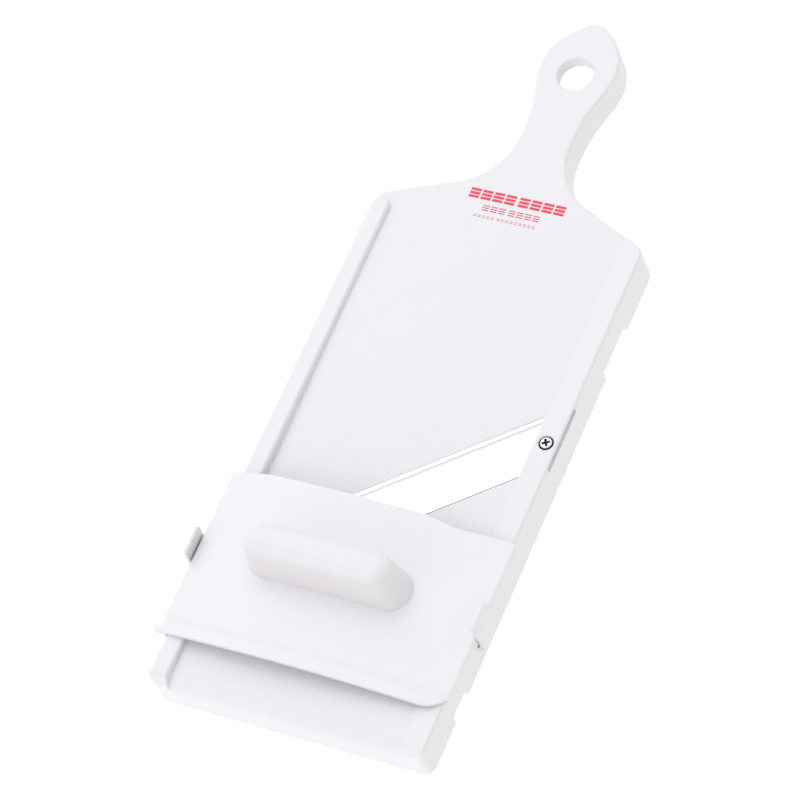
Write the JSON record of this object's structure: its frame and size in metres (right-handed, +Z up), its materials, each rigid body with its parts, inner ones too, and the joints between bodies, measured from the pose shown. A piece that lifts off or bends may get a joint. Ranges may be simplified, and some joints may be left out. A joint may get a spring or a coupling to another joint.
{
  "type": "mandoline slicer",
  "caption": "Flat board slicer with a fixed diagonal blade, a hanging handle, and a sliding hand guard with a bar grip and side clips.",
  "frame": {"origin": "on the table, under the middle of the board's length and width", "axes": "+Y from the nose to the handle's tip, +X across the board towards the screw side, +Z up"},
  "size_m": [0.1334, 0.344, 0.0445],
  "materials": {
    "board_plastic": "satin moulded ABS, fine short dashes on the beds",
    "guard_plastic": "satin moulded ABS",
    "grip_plastic": "satin moulded ABS",
    "clip_plastic": "satin moulded ABS",
    "blade_steel": "fine polish, ground bevels",
    "screw_steel": "bright stainless",
    "spike_steel": "bright stainless",
    "pin_steel": "bright stainless",
    "spring_steel": "drawn wire",
    "brass_insert": "turned brass"
  },
  "bodies": {
    "board": {"main_board": "board_plastic", "slicing_blade": "blade_steel", "blade_screw": "screw_steel", "blade_screw_insert": "brass_insert"},
    "guard": {"guard_plate": "guard_plastic", "guard_grip": "grip_plastic", "grip_screws": "screw_steel", "food_spikes": "spike_steel", "left_clip_pin": "pin_steel", "right_clip_pin": "pin_steel", "left_clip_spring": "spring_steel", "right_clip_spring": "spring_steel"},
    "left_clip": {"left_clip": "clip_plastic"},
    "right_clip": {"right_clip": "clip_plastic"}
  },
  "joints": [
    {"name": "guard_slide", "type": "slide", "parent": "board", "child": "guard", "axis": [0, 1, 0], "range_m": [-0.018, 0.135]},
    {"name": "left_clip_pinch", "type": "hinge", "parent": "guard", "child": "left_clip", "pos_m": [-0.0633, -0.1124, 0.018], "axis": [0, 1, 0], "range_deg": [0, 8], "stiffness_Nm_per_rad": 0.03, "springref_deg": -17.19},
    {"name": "right_clip_pinch", "type": "hinge", "parent": "guard", "child": "right_clip", "pos_m": [0.0633, -0.1124, 0.018], "axis": [0, -1, 0], "range_deg": [0, 8], "stiffness_Nm_per_rad": 0.03, "springref_deg": -17.19}
  ]
}
